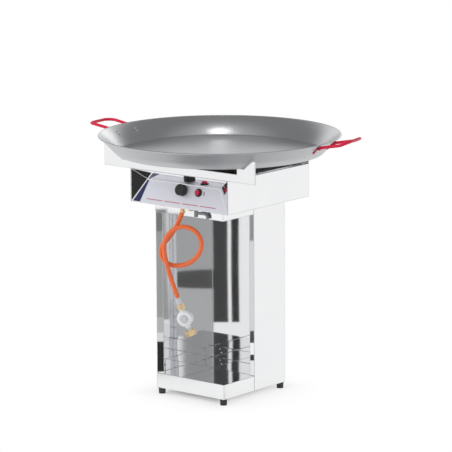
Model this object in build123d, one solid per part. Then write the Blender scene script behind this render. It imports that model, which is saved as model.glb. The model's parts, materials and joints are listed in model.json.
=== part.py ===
from build123d import *

import math
import os

# Sheet metal and fits, in millimetres
sheet = 1.5                # stainless sheet of the housing and the column
rest_gap = 0.2             # between fixed pieces that lie beside each other
move_gap = 0.4             # between pieces that move apart
running_gap = 0.06         # radial, round pieces that turn or slide in a bore
screw_gap = 0.1            # radial, screws in their holes
cut_over = 1               # how far a hole is cut past the surface it opens through

# Feet
foot_height = 20
foot_diameter = 24
foot_taper = 2             # how much narrower the foot is at the floor
foot_inset = 12            # foot centre from the column's faces
foot_pocket_gap = 1        # round the screw head
foot_recess_depth = 8      # pocket for the screw head

# Column
column_set_in = 62         # sides of the column behind the housing's sides
column_set_back = 51       # front and rear of the column behind the housing's
column_height = 629
plinth_height = 50         # folded faces of the floor tray
collar_height = 36         # strip under the housing
window_depth = 159         # open front part of the right side
left_flange = 30           # folded front edge of the left side
right_flange = 19          # folded front edge of the right side
base_flange = 40           # bottom edges that carry the feet
column_flange = 24         # top edges that carry the housing
tray_upstand = 39
back_inset = 30            # recess of the column's back panel
rear_return = 16           # folded rear edges of the sides
seam_gap = 0.6
tray_screw_inset = 40

# Burner housing
box_width = 411
box_depth = 424
box_height = 110
recess_depth = 25          # how far the front is folded in
recess_end = 52            # slanted ends of the recess
visor_height = 33          # upper face of the recess
front_top_flange = 25
front_bottom_flange = 16
front_side_flange = 14
wrap_flange = 22
wrap_bottom_flange = 15
floor_front_gap = 3
air_hole_diameter = 90

# Pan rests
rest_thickness = 3
rest_low = 26              # height of the plate between its lands
land_height = 46           # height of the lands that carry the pan
land_length = 29           # length of each front land
rear_land = 43             # length of each rear land
ear_rise = 29              # ears above the lands
ear_width = 10             # of an ear at its top
ear_gap = 4                # between an ear and the pan's wall
rest_flange = 22
rest_flange_inset = 12
rest_screw_x = 150

# Pan
rim_diameter = 800
wall_flare = 60            # how far the wall leans out
pan_depth = 61
pan_sheet = 2
pan_corner = 8
bead_radius = 2.6

# Pan handles
wire_diameter = 10
right_handle_angle = 12    # handle axis from the stand's width
left_handle_angle = 186
handle_overhang = 94       # tip beyond the rim
handle_foot_half = 52      # half distance between the feet
handle_half = 56           # half width at its widest
handle_wide_out = 62       # widest place beyond the rim
handle_tip_half = 50
right_handle_rise = 13     # tip above the rim
left_handle_rise = 2
handle_mid_rise = 1
handle_foot_bend = 10
handle_leg_bend = 40
handle_tip_bend = 24
handle_foot_top = 7        # start of the bend, below the rim along the wall
handle_foot_start = 18
plate_length = 34          # flattened foot against the wall
plate_width = 14
plate_thickness = 3
plate_drop = 26
rivet_diameter = 5
rivet_head_diameter = 9
rivet_head_height = 2.2
rivet_pitch = 12
rivet_shift = 4            # rivets below the middle of the foot

# Control panel
label_thickness = 0.4
label_margin = 3
control_height = 58        # knob and igniter, up the leaning panel
knob_x = 7
igniter_x = 70

# Gas valve and knob
valve_width = 38
valve_height = 36
valve_length = 38
valve_chamfer = 2
valve_boss_wall = 2
valve_standoff = 4         # valve block behind the panel
bush_diameter = 10
bush_reach = 4.5
valve_nut_flats = 14
valve_nut_thickness = 3
valve_nut_room = 9         # radius of the hole in the label
spindle_diameter = 8
spindle_depth = 24         # behind the panel face
plunger_length = 8
knob_travel = 4
knob_diameter = 38
knob_height = 20
knob_gap = 5               # knob above the panel at rest
knob_flutes = 14
knob_edge = 2.5
flute_radius = 2.6
knob_hollow_diameter = 27
knob_hollow_depth = 5
knob_wall = 4.5            # top of the knob above the spindle
pointer_width = 2.4
pointer_height = 1.2

# Igniter
bezel_diameter = 27
bezel_height = 5
bezel_edge = 1.2
barrel_diameter = 21
button_diameter = 18
button_reach = 12
button_skirt = 8
button_travel = 6
igniter_barrel_depth = 18
igniter_body_length = 22
igniter_nut_flats = 27
igniter_nut_thickness = 4
igniter_stem_diameter = 6
igniter_stem_length = 12
terminal_length = 5
terminal_diameter = 4
lead_diameter = 4
lead_drop = 26             # straight end of the lead under the electrode
lead_bend = 10

# Heat shield, burner and its gas train
shield_clear = 2           # shield behind the column's front bolts
shield_side_gap = 4        # shield to the housing's bottom edges
shield_screw_inset = 30
shield_height = 88
shield_foot = 12
ring_set_in = 94           # outer burner ring inside the housing's front
ring_spacing = 56          # inner ring inside the outer ring
ring_width = 24
ring_height = 20
ring_wall = 4
ring_lift = 63             # burner above the housing's bottom plate
hub_diameter = 54
arm_width = 20
port_diameter = 3
outer_ports = 24
inner_ports = 12
leg_width = 20
leg_thickness = 3
leg_foot = 22
mixer_diameter = 30
mixer_wall = 2
mixer_bend = 24
bell_diameter = 40
bell_length = 22
shutter_length = 12
shutter_wall = 2
shutter_slots = 4
shutter_slot_width = 9
shutter_slot_length = 7
pipe_diameter = 10
jet_gap = 6                # jet nose to the mixer's mouth
holder_diameter = 18
holder_length = 10
holder_screw_depth = 8
jet_flats = 11
jet_hex_length = 5
jet_nose_length = 5
jet_nose_diameter = 6
jet_bore = 1.2
supply_bend = 18

# Electrode and thermocouple
sensor_clear = 10          # electrode and probe outside the burner ring
electrode_angle = -45
probe_angle = -33
sensor_plate_lift = 52
sensor_plate_thickness = 2
ceramic_diameter = 8
ceramic_length = 34
ceramic_below = 10
spark_wire_diameter = 2
spark_wire_reach = 14
probe_diameter = 6
probe_length = 42
collar_length = 4          # shoulders of both on the bracket
capillary_diameter = 3
capillary_drop = 24
capillary_bend = 10
sensor_post_out = 14       # bracket's post outside the electrode and probe
pass_room = 6              # lead and capillary past the shield before they turn

# Gas inlet, hose and regulator
inlet_x = -6
inlet_set_back = 31        # inlet behind the housing's front
inlet_flats = 19
inlet_hex_height = 6
inlet_thread_diameter = 13
inlet_thread_above = 8
inlet_nut_height = 6
knuckle_drop = 8           # bend of the hose tail under the bottom plate
tail_angle = 20
tail_diameter = 9
tail_run = 24              # first straight run of the hose
elbow_x = 47
elbow_drop = 28
elbow_diameter = 13
branch_diameter = 10
branch_drop = 16
branch_reach = 40
branch_bend = 14
branch_end = 2             # straight end of the branch
manifold_lift = 14
hose_diameter = 15
hose_angle = 20            # plane of the hose loop, from the stand's width
ferrule_diameter = 18.6
ferrule_cover = 5
ferrule_neck = 6
ferrule_edge = 1
lower_cover = 16
hose_nut_flats = 22
hose_nut_length = 17
regulator_diameter = 54
regulator_thickness = 26
regulator_edge = 8
regulator_at = 57          # centre beyond the hose end
regulator_boss_diameter = 18
regulator_boss_in = 5      # boss between the hose nut and the round body
regulator_boss_out = 4     # boss below the round body
cap_diameter = 26
cap_height = 7
stem_diameter = 13
stem_collar_diameter = 20
stem_collar_length = 3.5
cylinder_nut_flats = 32
cylinder_nut_length = 20
cylinder_nut_at = 97
nut_crown = 4
cylinder_thread_diameter = 21.8

# Screws
screw_diameter = 5
screw_head_diameter = 9
screw_head_height = 3
screw_nut_flats = 8
screw_nut_height = 4
small_screw_diameter = 4
small_head_diameter = 7.5
small_head_height = 2.2
foot_screw_diameter = 6
foot_screw_head = 10
foot_screw_head_height = 4
foot_nut_flats = 10
foot_nut_height = 5
screw_end = 1              # thread past the nut

# Levels and half sizes that follow from the sizes above
base_z = foot_height
floor_z = base_z + plinth_height
box_z = base_z + column_height
plate_z = box_z + sheet
box_top = box_z + box_height
pan_z = box_top + land_height
rim_z = pan_z + pan_depth
box_x = box_width / 2
box_y = box_depth / 2
front_x = box_x - sheet
col_x = box_x - column_set_in
col_y = box_y - column_set_back
seam_y = -col_y + window_depth
back_y = col_y - back_inset
inlet_y = inlet_set_back - box_y
rim_radius = rim_diameter / 2
base_radius = rim_radius - wall_flare
handle_wide_at = rim_radius + handle_wide_out
wire_radius = wire_diameter / 2
standing = (Align.CENTER, Align.CENTER, Align.MIN)
parts = {}


def slab(x0, x1, y0, y1, z0, z1):
    middle = Pos((x0 + x1) / 2, (y0 + y1) / 2, (z0 + z1) / 2)
    return middle * Box(x1 - x0, y1 - y0, z1 - z0)


def post(plane, z0, z1, radius):
    return plane * (Pos(0, 0, z0) * Cylinder(radius, z1 - z0, align=standing))


def hex_bar(plane, z0, z1, flats):
    outline = RegularPolygon(flats / 2, 6, major_radius=False)
    return plane * (Pos(0, 0, z0) * extrude(outline, z1 - z0))


def domed(radius, height):
    # cap of a ball, flat side down on z = 0
    ball = (radius ** 2 + height ** 2) / (2 * height)
    room = Pos(0, 0, height / 2) * Box(3 * radius, 3 * radius, height)
    return (Pos(0, 0, height - ball) * Sphere(ball)) & room


def upright(x, y, z=0.0):
    return Plane(origin=(x, y, z))


def tube_along(points, radii, radius):
    path = FilletPolyline(*points, radius=radii)
    section = Plane(origin=path @ 0, z_dir=path % 0) * Circle(radius)
    return sweep(section, path=path), path


def screw(plane, diameter, head_diameter, head_height, length):
    # domed head above z = 0, shank below it
    shank = post(plane, -length, 0, diameter / 2)
    return shank + plane * domed(head_diameter / 2, head_height)


def nut(plane, z0, flats, height, diameter):
    ring = hex_bar(plane, z0, z0 + height, flats)
    return ring - post(plane, z0 - cut_over, z0 + height + cut_over, diameter / 2 + screw_gap)


# Pan: flat base, flared wall and a rolled bead at the rim
wall_rise = pan_depth - bead_radius
wall_run = rim_radius - bead_radius - base_radius
wall_angle = math.atan2(wall_rise, wall_run)
wall_cos = math.cos(wall_angle)
wall_sin = math.sin(wall_angle)


def wall_point(drop, out):
    # radius and height of a point below the rim along the wall's outside, and off the wall
    radius = base_radius + wall_run - drop * wall_cos + out * wall_sin
    height = pan_z + wall_rise - drop * wall_sin - out * wall_cos
    return radius, height


foot_r, foot_h = wall_point(plate_drop, 0)
foot_plane = Plane(
    origin=(foot_r, 0, foot_h), x_dir=(wall_cos, 0, wall_sin), z_dir=(wall_sin, 0, -wall_cos))
foot_angle = math.degrees(math.asin(handle_foot_half / foot_r))
handle_turns = (right_handle_angle, left_handle_angle)
rivet_steps = [-rivet_shift - rivet_pitch / 2, -rivet_shift + rivet_pitch / 2]


def rivet_planes(turn):
    planes = []
    for side in (-1, 1):
        for step in rivet_steps:
            at = Location(foot_plane) * Pos(step, 0, 0)
            planes.append(Plane(Rot(0, 0, turn + side * foot_angle) * at))
    return planes


def make_pan():
    inner_x = base_radius - pan_sheet * math.tan(wall_angle / 2)
    top_x = base_radius + wall_run
    outer = FilletPolyline(
        (0, 0, pan_z), (base_radius, 0, pan_z), (top_x, 0, pan_z + wall_rise),
        radius=pan_corner + pan_sheet)
    inside_top = (top_x - pan_sheet * wall_sin, 0, pan_z + wall_rise + pan_sheet * wall_cos)
    inside = FilletPolyline(
        inside_top, (inner_x, 0, pan_z + pan_sheet), (0, 0, pan_z + pan_sheet), radius=pan_corner)
    rim = Line((top_x, 0, pan_z + wall_rise), inside_top)
    middle = Line((0, 0, pan_z + pan_sheet), (0, 0, pan_z))
    bead = Plane(origin=(top_x, 0, pan_z + wall_rise), z_dir=(0, -1, 0)) * Circle(bead_radius)
    pan = revolve(make_face(outer + rim + inside + middle) + bead, Axis.Z)
    for turn in handle_turns:
        for plane in rivet_planes(turn):
            pan -= post(plane, -2 * pan_sheet, pan_sheet, rivet_diameter / 2 + screw_gap)
    return pan


def make_handle(turn, rise):
    # wire loop with two flattened feet that lie against the pan's wall
    wire_out = wire_radius + rest_gap
    tip_x = rim_radius + handle_overhang - wire_radius
    points = []
    for side in (-1, 1):
        swing = math.radians(side * foot_angle)
        run = []
        for drop in (handle_foot_start, handle_foot_top):
            radius, height = wall_point(drop, wire_out)
            run.append((radius * math.cos(swing), radius * math.sin(swing), height))
        run.append((handle_wide_at, side * handle_half, rim_z + handle_mid_rise))
        run.append((tip_x, side * handle_tip_half, rim_z + rise))
        points += run if side < 0 else run[::-1]
    radii = [handle_foot_bend, handle_leg_bend, handle_tip_bend]
    handle, path = tube_along(points, radii + radii[::-1], wire_radius)
    plate = foot_plane * (Pos(0, 0, rest_gap / 2) * extrude(
        SlotOverall(plate_length, plate_width), plate_thickness))
    for side in (-1, 1):
        handle += Rot(0, 0, side * foot_angle) * plate
    handle = Rot(0, 0, turn) * handle
    for plane in rivet_planes(turn):
        handle -= post(plane, -pan_sheet, 2 * plate_thickness, rivet_diameter / 2 + screw_gap)
    return handle


def make_rivets():
    rivets = []
    head = domed(rivet_head_diameter / 2, rivet_head_height)
    inside = -pan_sheet - rest_gap
    outside = plate_thickness + rest_gap / 2
    for turn in handle_turns:
        for plane in rivet_planes(turn):
            rivet = post(plane, inside, outside, rivet_diameter / 2)
            rivet += plane * (Pos(0, 0, outside) * head)
            rivet += plane * (Pos(0, 0, inside) * Rot(180, 0, 0) * head)
            rivets.append(rivet)
    return Compound(children=rivets)


parts["pan"] = make_pan()
parts["pan_handle_right"] = make_handle(right_handle_angle, right_handle_rise)
parts["pan_handle_left"] = make_handle(left_handle_angle, left_handle_rise)
parts["handle_rivets"] = make_rivets()

# Pan rests: plates on the housing's front and rear edges, folded to a flange with two screws
rest_screws_front = [(-rest_screw_x, rest_flange / 2 - box_y), (rest_screw_x, rest_flange / 2 - box_y)]
rest_screws_rear = [(x, -y) for x, y in rest_screws_front]


def wall_chord(height, y):
    radius = base_radius + wall_run * height / wall_rise
    return math.sqrt(radius ** 2 - y ** 2)


def make_rest(outline, back_y, flange_y, screws):
    plane = Plane(origin=(0, back_y, 0), x_dir=(1, 0, 0), z_dir=(0, -1, 0))
    half = outline + [(-x, z) for x, z in outline[::-1]]
    plate = extrude(plane * make_face(Polyline(*half, close=True)), rest_thickness)
    flange_x = box_x - rest_flange_inset
    y0, y1 = sorted((flange_y, math.copysign(box_y, flange_y)))
    rest = plate + slab(-flange_x, flange_x, y0, y1, box_top, box_top + rest_thickness)
    for x, y in screws:
        hole = upright(x, y, box_top)
        rest -= post(hole, -cut_over, rest_thickness + cut_over, screw_diameter / 2 + screw_gap)
    return rest


def make_front_rest():
    chord_y = box_y - rest_thickness
    ear_foot = wall_chord(0, chord_y) + ear_gap
    ear_top = wall_chord(ear_rise, chord_y) + ear_gap
    land_inner = ear_foot - land_length
    end = ear_top + ear_width
    outline = [
        (end, box_top), (end, pan_z + ear_rise), (ear_top, pan_z + ear_rise),
        (ear_foot, pan_z), (land_inner, pan_z), (land_inner, box_top + rest_low)]
    return make_rest(outline, rest_thickness - box_y, rest_flange - box_y, rest_screws_front)


def make_rear_rest():
    inner = box_x - rear_land
    outline = [(box_x, box_top), (box_x, pan_z), (inner, pan_z), (inner, box_top + rest_low)]
    return make_rest(outline, box_y, box_y - rest_flange, rest_screws_rear)


def make_rest_screws():
    pieces = []
    length = rest_thickness + sheet + screw_nut_height + screw_end
    for x, y in rest_screws_front + rest_screws_rear:
        top = upright(x, y, box_top + rest_thickness)
        pieces.append(screw(top, screw_diameter, screw_head_diameter, screw_head_height, length))
        below = upright(x, y, box_top - sheet)
        pieces.append(nut(below, -screw_nut_height, screw_nut_flats, screw_nut_height, screw_diameter))
    return Compound(children=pieces)


parts["front_pan_rest"] = make_front_rest()
parts["rear_pan_rest"] = make_rear_rest()
parts["pan_rest_screws"] = make_rest_screws()

# Places on the leaning lower face of the recess
panel_rise = box_height - visor_height
lean = math.atan2(recess_depth, panel_rise)
panel_normal = (0, -math.cos(lean), math.sin(lean))
panel_length = math.hypot(recess_depth, panel_rise)


def panel_plane(x, up):
    origin = (x, up * math.sin(lean) - box_y, box_z + up * math.cos(lean))
    return Plane(origin=origin, x_dir=(1, 0, 0), z_dir=panel_normal)


def plane_point(plane, x, y, z):
    place = plane.from_local_coords((x, y, z))
    return (place.X, place.Y, place.Z)


valve_plane = panel_plane(knob_x, control_height)
igniter_plane = panel_plane(igniter_x, control_height)
valve_front = -sheet - valve_standoff
valve_back = valve_front - valve_length

# Gas train behind the panel: the supply pipe leaves the valve and meets the mixer's axis
supply_start = plane_point(valve_plane, -knob_x, 0, valve_back)
shield_half = front_x - wrap_bottom_flange - shield_side_gap
shield_y = column_flange / 2 - col_y + foot_nut_flats / math.sqrt(3) + shield_clear
shield_back = shield_y + sheet
supply_run = shield_back - supply_start[1] + shield_clear
supply_corner = plane_point(valve_plane, -knob_x, 0, valve_back - supply_run)
mixer_z = supply_corner[2]
holder_y = shield_back + shield_foot + shield_clear
jet_y = holder_y + holder_length
mouth_y = jet_y + jet_hex_length + jet_nose_length + jet_gap
ring_z = plate_z + ring_lift
ring_radius = box_y - ring_set_in
inner_ring_radius = ring_radius - ring_spacing
leg_spots = [(ring_radius, angle) for angle in (45, 135, 225, 315)]


def around(radius, angle):
    return radius * math.cos(math.radians(angle)), radius * math.sin(math.radians(angle))


sensor_radius = ring_radius + ring_width / 2 + sensor_clear
electrode_at = around(sensor_radius, electrode_angle)
probe_at = around(sensor_radius, probe_angle)
sensor_z = plate_z + sensor_plate_lift
sensor_angle = (electrode_angle + probe_angle) / 2
sensor_post_at = around(sensor_radius + sensor_post_out, sensor_angle)
terminal_end = igniter_barrel_depth + igniter_body_length + terminal_length
lead_start = plane_point(igniter_plane, 0, 0, -terminal_end)
lead_cross = plane_point(igniter_plane, 0, 0, -terminal_end - (shield_back - lead_start[1] + pass_room))
capillary_port = plane_point(valve_plane, valve_width / 4, -valve_height / 4, valve_back)
capillary_run = shield_back - capillary_port[1] + pass_room + lead_diameter
capillary_cross = plane_point(valve_plane, valve_width / 4, -valve_height / 4, valve_back - capillary_run)

# Screws that stand on the housing's bottom plate
leg_screws = [around(radius + leg_foot / 2, angle) for radius, angle in leg_spots]
shield_screw_x = shield_half - shield_screw_inset
shield_screws = [(side * shield_screw_x, shield_back + shield_foot / 2) for side in (-1, 1)]
holder_screw = (0, holder_y + holder_length / 2)
column_bolts = [
    (-col_x + column_flange / 2, -col_y / 2), (-col_x + column_flange / 2, col_y / 2),
    (col_x - column_flange / 2, col_y / 2), (col_x - column_flange / 2, -col_y / 2),
    (col_x / 2, back_y - column_flange / 2), (-col_x / 2, back_y - column_flange / 2),
    (col_x / 2, column_flange / 2 - col_y), (-col_x / 2, column_flange / 2 - col_y)]
edge_screws = [
    (side * (box_x - sheet - wrap_bottom_flange / 2), y) for side in (-1, 1) for y in (-box_y / 2, box_y / 2)]
edge_screws += [(x, box_y - sheet - wrap_bottom_flange / 2) for x in (-box_x / 2, box_x / 2)]


def drill(solid, spots, z0, z1, diameter):
    for x, y in spots:
        solid -= post(upright(x, y, z0), 0, z1 - z0, diameter / 2 + screw_gap)
    return solid


# Housing: wrap of left, back and right, and the folded front
def make_wrap():
    wrap = slab(-box_x, box_x, box_y - sheet, box_y, box_z, box_top)
    top_y = front_top_flange + rest_gap - box_y
    bottom_y = front_bottom_flange + rest_gap - box_y
    for side in (-1, 1):
        x0, x1 = sorted((side * box_x, side * front_x))
        wrap += slab(x0, x1, -box_y, box_y, box_z, box_top)
        x0, x1 = sorted((side * box_x, side * (box_x - wrap_flange)))
        wrap += slab(x0, x1, top_y, box_y, box_top - sheet, box_top)
        x0, x1 = sorted((side * box_x, side * (front_x - wrap_bottom_flange)))
        wrap += slab(x0, x1, bottom_y, box_y, plate_z, plate_z + sheet)
    wrap += slab(-box_x, box_x, box_y - wrap_flange, box_y, box_top - sheet, box_top)
    back_y = box_y - sheet - wrap_bottom_flange
    wrap += slab(-box_x, box_x, back_y, box_y, plate_z, plate_z + sheet)
    wrap = drill(wrap, rest_screws_rear, box_top - 2 * sheet, box_top + sheet, screw_diameter)
    return drill(wrap, edge_screws, plate_z - sheet, plate_z + 2 * sheet, small_screw_diameter)


def recess_hollow(grow):
    # hipped hollow behind the front plane, each folded face moved back by the given thickness
    tilt_up = math.atan2(recess_depth, visor_height)
    tilt_end = math.atan2(recess_depth, recess_end)
    low = grow / math.sin(lean) if grow else 0.0
    high = grow / math.sin(tilt_up) if grow else 0.0
    wide = grow / math.sin(tilt_end) if grow else 0.0
    z0 = box_z - low
    z1 = box_top + high
    lower_slope = recess_depth / panel_rise
    upper_slope = recess_depth / visor_height
    depth = (z1 - z0) * lower_slope * upper_slope / (lower_slope + upper_slope)
    ridge_z = z0 + depth / lower_slope
    half = front_x + wide
    ridge_x = half - depth * (recess_end - sheet) / recess_depth
    y0 = -box_y
    y1 = y0 + depth
    corners = [(-half, y0, z0), (half, y0, z0), (half, y0, z1), (-half, y0, z1)]
    left = (-ridge_x, y1, ridge_z)
    right = (ridge_x, y1, ridge_z)
    outlines = [
        corners, [corners[0], corners[1], right, left], [corners[3], corners[2], right, left],
        [corners[0], left, corners[3]], [corners[1], corners[2], right]]
    return Solid(Shell([Face(Wire.make_polygon(outline)) for outline in outlines]))


def make_front():
    hollow = recess_hollow(0)
    room = slab(-front_x, front_x, -box_y, box_y, box_z, box_top)
    front = recess_hollow(sheet) & room
    front += slab(-front_x, front_x, -box_y, front_top_flange - box_y, box_top - sheet, box_top)
    front += slab(-front_x, front_x, -box_y, front_bottom_flange - box_y, plate_z, plate_z + sheet)
    for side in (-1, 1):
        x0, x1 = sorted((side * front_x, side * (front_x - sheet)))
        front += slab(x0, x1, -box_y, front_side_flange - box_y, plate_z, box_top)
    front -= hollow
    front -= post(valve_plane, -3 * sheet, sheet, bush_diameter / 2 + rest_gap)
    front -= post(igniter_plane, -3 * sheet, sheet, barrel_diameter / 2 + rest_gap)
    return drill(front, rest_screws_front, box_top - 2 * sheet, box_top + sheet, screw_diameter)


def make_label():
    # overlay with the panel's own trapezium outline
    run_in = recess_end - sheet
    side_length = math.hypot(run_in, panel_length)
    inset = label_margin * side_length / panel_length
    low = label_margin
    high = panel_length - label_margin
    low_x = front_x - run_in * low / panel_length - inset
    high_x = front_x - run_in * high / panel_length - inset
    outline = Polyline((-low_x, low), (low_x, low), (high_x, high), (-high_x, high), close=True)
    label = extrude(panel_plane(0, 0) * make_face(outline), label_thickness)
    label -= post(valve_plane, -sheet, sheet, valve_nut_room)
    label -= post(igniter_plane, -sheet, sheet, barrel_diameter / 2 + rest_gap)
    return label


def make_floor():
    x = front_x - rest_gap
    floor = slab(-x, x, floor_front_gap - box_y, box_y - sheet - rest_gap, box_z, plate_z)
    floor -= post(upright(0, 0, box_z), -cut_over, sheet + cut_over, air_hole_diameter / 2)
    floor = drill(floor, [(inlet_x, inlet_y)], box_z - cut_over, plate_z + cut_over, inlet_thread_diameter)
    floor = drill(floor, [(elbow_x, inlet_y)], box_z - cut_over, plate_z + cut_over, elbow_diameter)
    floor = drill(floor, column_bolts, box_z - cut_over, plate_z + cut_over, foot_screw_diameter)
    floor = drill(floor, edge_screws, box_z - cut_over, plate_z + cut_over, small_screw_diameter)
    spots = leg_screws + shield_screws + [holder_screw, sensor_post_at]
    return drill(floor, spots, box_z - cut_over, plate_z + cut_over, small_screw_diameter)


def make_edge_screws():
    pieces = []
    for x, y in edge_screws:
        under = Plane(origin=(x, y, box_z), z_dir=(0, 0, -1))
        pieces.append(screw(under, small_screw_diameter, small_head_diameter, small_head_height, 4 * sheet))
    return Compound(children=pieces)


parts["housing_wrap"] = make_wrap()
parts["front_fascia"] = make_front()
parts["control_label"] = make_label()
parts["housing_floor"] = make_floor()
parts["housing_screws"] = make_edge_screws()


# Gas valve: block with a threaded bush, a nut in front of the panel, spindle, plunger and knob
def make_valve():
    middle = (valve_front + valve_back) / 2
    block = chamfer(Box(valve_width, valve_height, valve_length).edges(), valve_chamfer)
    body = valve_plane * (Pos(0, 0, middle) * block)
    body += post(valve_plane, middle, bush_reach, bush_diameter / 2)
    boss_foot = plate_z + manifold_lift + pipe_diameter
    boss_radius = pipe_diameter / 2 + valve_boss_wall
    boss = post(upright(inlet_x, inlet_y, boss_foot), 0, valve_height / 2, boss_radius)
    ahead = Box(2 * box_height, 2 * box_height, valve_length)
    body += boss - valve_plane * (Pos(0, 0, valve_front + valve_length / 2) * ahead)
    depth = spindle_depth + plunger_length + knob_travel + 2 * move_gap
    return body - post(valve_plane, -depth, bush_reach + cut_over, spindle_diameter / 2 + running_gap)


def make_knob():
    outline = Circle(knob_diameter / 2)
    for spot in PolarLocations(knob_diameter / 2 + flute_radius / 2, knob_flutes):
        outline -= spot * Circle(flute_radius)
    knob = extrude(outline, knob_height)
    turned = Cylinder(knob_diameter / 2, knob_height, align=standing)
    turned = fillet(turned.edges().filter_by(GeomType.CIRCLE).sort_by(Axis.Z)[-1], knob_edge)
    knob &= turned
    knob += Pos(0, knob_diameter / 4, knob_height) * Box(
        pointer_width, knob_diameter / 2.4, 2 * pointer_height)
    knob -= Cylinder(knob_hollow_diameter / 2, knob_hollow_depth, align=standing)
    socket = knob_height - knob_wall
    knob -= Cylinder(spindle_diameter / 2 + running_gap, socket, align=standing)
    return valve_plane * (Pos(0, 0, knob_gap) * knob)


spindle_top = knob_gap + knob_height - knob_wall
parts["gas_valve_body"] = make_valve()
parts["valve_panel_nut"] = nut(valve_plane, 0, valve_nut_flats, valve_nut_thickness, bush_diameter)
parts["valve_spindle"] = post(valve_plane, -spindle_depth, spindle_top - rest_gap, spindle_diameter / 2)
parts["valve_plunger"] = post(
    valve_plane, -spindle_depth - move_gap - plunger_length, -spindle_depth - move_gap, spindle_diameter / 2)
parts["control_knob"] = make_knob()


# Igniter: bezel with its barrel through the panel, nut behind, button, sealed body, lead and electrode
def make_bezel():
    flange = post(igniter_plane, label_thickness, bezel_height, bezel_diameter / 2)
    flange = chamfer(flange.edges().filter_by(GeomType.CIRCLE).sort_by(Axis.Y)[0], bezel_edge)
    bezel = flange + post(igniter_plane, -igniter_barrel_depth, label_thickness, barrel_diameter / 2)
    bore = button_diameter / 2 + running_gap
    return bezel - post(igniter_plane, -igniter_barrel_depth - cut_over, bezel_height + cut_over, bore)


def make_button():
    cap = Cylinder(button_diameter / 2, button_reach + button_skirt, align=standing)
    cap = fillet(cap.edges().filter_by(GeomType.CIRCLE).sort_by(Axis.Z)[-1], button_diameter / 6)
    cap += Pos(0, 0, -igniter_stem_length) * Cylinder(
        igniter_stem_diameter / 2, igniter_stem_length, align=standing)
    return igniter_plane * (Pos(0, 0, -button_skirt) * cap)


def make_igniter_body():
    back = -igniter_barrel_depth - igniter_body_length
    body = post(igniter_plane, back, -igniter_barrel_depth, barrel_diameter / 2)
    body += post(igniter_plane, -terminal_end, back, terminal_diameter / 2)
    depth = button_skirt + igniter_stem_length + button_travel + move_gap
    return body - post(
        igniter_plane, -depth, -igniter_barrel_depth + cut_over, igniter_stem_diameter / 2 + running_gap)


def make_electrode():
    x, y = electrode_at
    foot = upright(x, y, sensor_z - ceramic_below)
    electrode = post(foot, 0, ceramic_length, ceramic_diameter / 2)
    shoulder = upright(x, y, sensor_z + sensor_plate_thickness)
    electrode += post(shoulder, 0, collar_length, ceramic_diameter * 0.75)
    tip = post(foot, ceramic_length, ceramic_length + spark_wire_reach, spark_wire_diameter / 2)
    return electrode + tip


def make_lead():
    x, y = electrode_at
    bottom = sensor_z - ceramic_below
    points = [lead_start, lead_cross, (x, y, bottom - lead_drop), (x, y, bottom)]
    lead, path = tube_along(points, [lead_bend, lead_bend], lead_diameter / 2)
    return lead


parts["igniter_bezel"] = make_bezel()
parts["igniter_nut"] = nut(
    igniter_plane, -sheet - igniter_nut_thickness, igniter_nut_flats, igniter_nut_thickness, barrel_diameter)
parts["igniter_button"] = make_button()
parts["igniter_body"] = make_igniter_body()
parts["spark_electrode"] = make_electrode()
parts["ignition_lead"] = make_lead()


# Thermocouple, and the bracket that holds it beside the electrode
def make_probe():
    x, y = probe_at
    foot = upright(x, y, sensor_z - ceramic_below)
    probe = post(foot, 0, probe_length, probe_diameter / 2)
    probe += hex_bar(
        upright(x, y, sensor_z + sensor_plate_thickness), 0, collar_length, 1.6 * probe_diameter)
    points = [
        (x, y, sensor_z - ceramic_below + cut_over), (x, y, sensor_z - ceramic_below - capillary_drop),
        capillary_cross, capillary_port]
    capillary, path = tube_along(points, [capillary_bend, capillary_bend], capillary_diameter / 2)
    return probe + capillary


def make_sensor_bracket():
    px, py = sensor_post_at
    outline = make_hull([
        (Pos(*electrode_at, 0) * Circle(ceramic_diameter)).edge(),
        (Pos(*probe_at, 0) * Circle(ceramic_diameter)).edge(),
        (Pos(px, py, 0) * Circle(small_head_diameter)).edge()])
    bracket = Pos(0, 0, sensor_z) * extrude(outline, sensor_plate_thickness)
    turned = Rot(0, 0, sensor_angle)
    reach = sensor_radius + sensor_post_out
    out = reach + small_head_diameter
    bracket += turned * slab(
        out - sensor_plate_thickness, out, -leg_width / 2, leg_width / 2, plate_z, sensor_z)
    bracket += turned * slab(
        reach - leg_foot / 2, out, -leg_width / 2, leg_width / 2, plate_z, plate_z + sensor_plate_thickness)
    bracket = drill(bracket, [sensor_post_at], plate_z - cut_over, plate_z + 2 * sheet, small_screw_diameter)
    for spot, diameter in ((electrode_at, ceramic_diameter), (probe_at, probe_diameter)):
        bracket = drill(bracket, [spot], sensor_z - cut_over, sensor_z + 3 * sensor_plate_thickness, diameter)
    return bracket


parts["thermocouple"] = make_probe()
parts["sensor_bracket"] = make_sensor_bracket()


# Heat shield between the controls and the burner
def make_shield():
    shield = slab(-shield_half, shield_half, shield_y, shield_back, plate_z, plate_z + shield_height)
    shield += slab(
        -shield_half, shield_half, shield_y, shield_back + shield_foot, plate_z, plate_z + sheet)
    for x, z, radius in (
            (0, (supply_start[2] + mixer_z) / 2, pipe_diameter),
            (lead_start[0], lead_cross[2], 2 * lead_diameter),
            (capillary_port[0], (capillary_port[2] + capillary_cross[2]) / 2, 2 * capillary_diameter)):
        hole = Plane(origin=(x, shield_y, z), z_dir=(0, 1, 0))
        shield -= post(hole, -cut_over, sheet + cut_over, radius)
    return drill(shield, shield_screws, plate_z - cut_over, plate_z + 2 * sheet, small_screw_diameter)


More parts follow.
